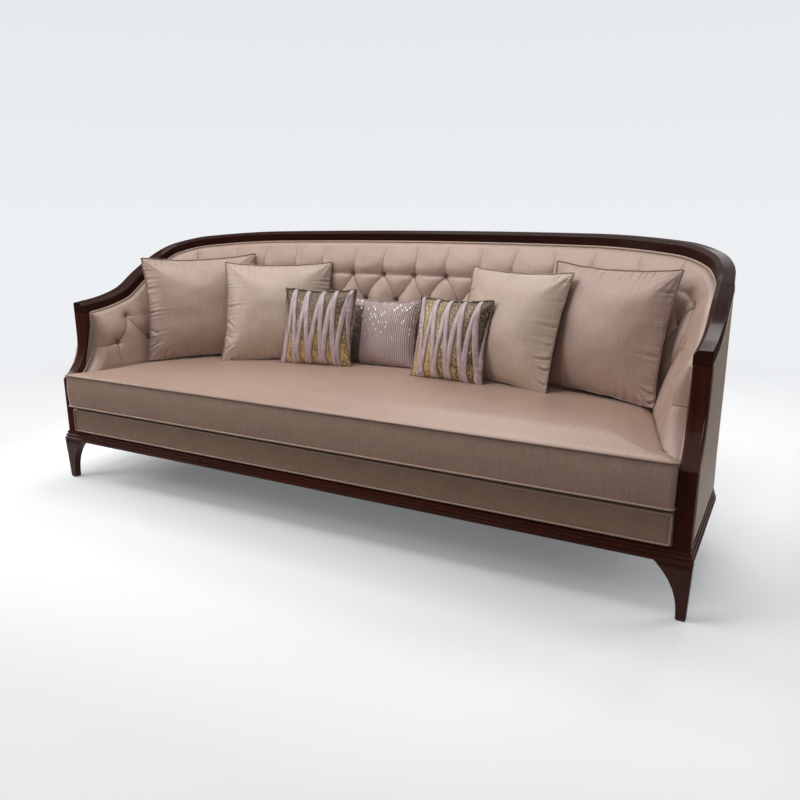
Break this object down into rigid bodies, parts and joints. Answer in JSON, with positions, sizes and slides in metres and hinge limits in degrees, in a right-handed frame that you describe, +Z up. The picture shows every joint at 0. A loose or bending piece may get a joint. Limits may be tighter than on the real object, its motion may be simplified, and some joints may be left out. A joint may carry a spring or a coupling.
{
  "type": "four-seater sofa",
  "caption": "Bow-backed sofa with a dark show-wood rail, posts and base, tufted inner pads, a loose bench cushion and loose pillows.",
  "frame": {"origin": "middle of the sofa's plan, on the floor", "axes": "+X to the sitter's left along the length, -Y to the front, +Z up"},
  "size_m": [2.418, 0.9478, 0.984],
  "materials": {
    "dark_wood": "very dark brown mahogany, high gloss",
    "hidden_wood": "raw hardwood",
    "taupe_satin": "taupe satin weave with a soft sheen",
    "taupe_cord": "satin piping",
    "beige_satin": "greyer beige satin",
    "rose_satin": "rose beige satin",
    "gold_pattern": "gold and brown ground with lilac zigzag strokes",
    "lilac_pleat": "pink-lilac fine pleats",
    "black_cloth": "black spunbond",
    "webbing": "woven jute",
    "deck_cloth": "plain lining over padding",
    "glide": "matte"
  },
  "bodies": {
    "root": {"leg_front_left": "dark_wood", "leg_front_right": "dark_wood", "leg_back_left": "dark_wood", "leg_back_right": "dark_wood", "leg_back_center": "dark_wood", "leg_center_support": "dark_wood", "glide_front_left": "glide", "glide_front_right": "glide", "glide_back_left": "glide", "glide_back_right": "glide", "glide_back_center": "glide", "glide_center_support": "glide", "base_front": "dark_wood", "base_left": "dark_wood", "base_right": "dark_wood", "base_back": "dark_wood", "front_post_left": "dark_wood", "front_post_right": "dark_wood", "rail_back": "dark_wood", "rail_corner_left": "dark_wood", "rail_corner_right": "dark_wood", "rail_arm_left": "dark_wood", "rail_arm_right": "dark_wood", "outer_back": "taupe_satin", "outer_arm_left": "taupe_satin", "outer_arm_right": "taupe_satin", "seat_rail_front": "hidden_wood", "seat_rail_back": "hidden_wood", "seat_rail_left": "hidden_wood", "seat_rail_right": "hidden_wood", "cross_rail_left": "hidden_wood", "cross_rail_center": "hidden_wood", "cross_rail_right": "hidden_wood", "upright_back_left": "hidden_wood", "upright_back_right": "hidden_wood", "upright_corner_left": "hidden_wood", "upright_corner_right": "hidden_wood", "seat_webbing": "webbing", "seat_deck": "deck_cloth", "dust_cover": "black_cloth", "front_apron": "taupe_satin", "apron_cord": "taupe_cord", "back_pad": "taupe_satin", "arm_pad_left": "taupe_satin", "arm_pad_right": "taupe_satin", "rail_cord": "taupe_cord"},
    "seat_cushion": {"seat_cushion": "taupe_satin", "seat_cord_top": "taupe_cord", "seat_cord_bottom": "taupe_cord"},
    "pillow_far_left": {"pillow_far_left": "rose_satin", "pillow_far_left_cord": "taupe_cord"},
    "pillow_left": {"pillow_left": "beige_satin", "pillow_left_cord": "taupe_cord"},
    "pillow_pattern_left": {"pillow_pattern_left": "gold_pattern"},
    "pillow_center": {"pillow_center": "lilac_pleat"},
    "pillow_pattern_right": {"pillow_pattern_right": "gold_pattern"},
    "pillow_right": {"pillow_right": "beige_satin", "pillow_right_cord": "taupe_cord"},
    "pillow_far_right": {"pillow_far_right": "rose_satin", "pillow_far_right_cord": "taupe_cord"}
  },
  "joints": [
    {"name": "seat_cushion_lift", "type": "slide", "parent": "root", "child": "seat_cushion", "axis": [0, 0, 1], "range_m": [0, 0.25]},
    {"name": "pillow_far_left_lift", "type": "slide", "parent": "seat_cushion", "child": "pillow_far_left", "axis": [0, 0, 1], "range_m": [0, 0.55]},
    {"name": "pillow_left_lift", "type": "slide", "parent": "pillow_far_left", "child": "pillow_left", "axis": [0, 0, 1], "range_m": [0, 0.55]},
    {"name": "pillow_pattern_left_lift", "type": "slide", "parent": "pillow_left", "child": "pillow_pattern_left", "axis": [0, 0, 1], "range_m": [0, 0.55]},
    {"name": "pillow_far_right_lift", "type": "slide", "parent": "seat_cushion", "child": "pillow_far_right", "axis": [0, 0, 1], "range_m": [0, 0.55]},
    {"name": "pillow_right_lift", "type": "slide", "parent": "pillow_far_right", "child": "pillow_right", "axis": [0, 0, 1], "range_m": [0, 0.55]},
    {"name": "pillow_pattern_right_lift", "type": "slide", "parent": "pillow_right", "child": "pillow_pattern_right", "axis": [0, 0, 1], "range_m": [0, 0.55]},
    {"name": "pillow_center_lift", "type": "slide", "parent": "seat_cushion", "child": "pillow_center", "axis": [0, 0, 1], "range_m": [0, 0.55]}
  ]
}
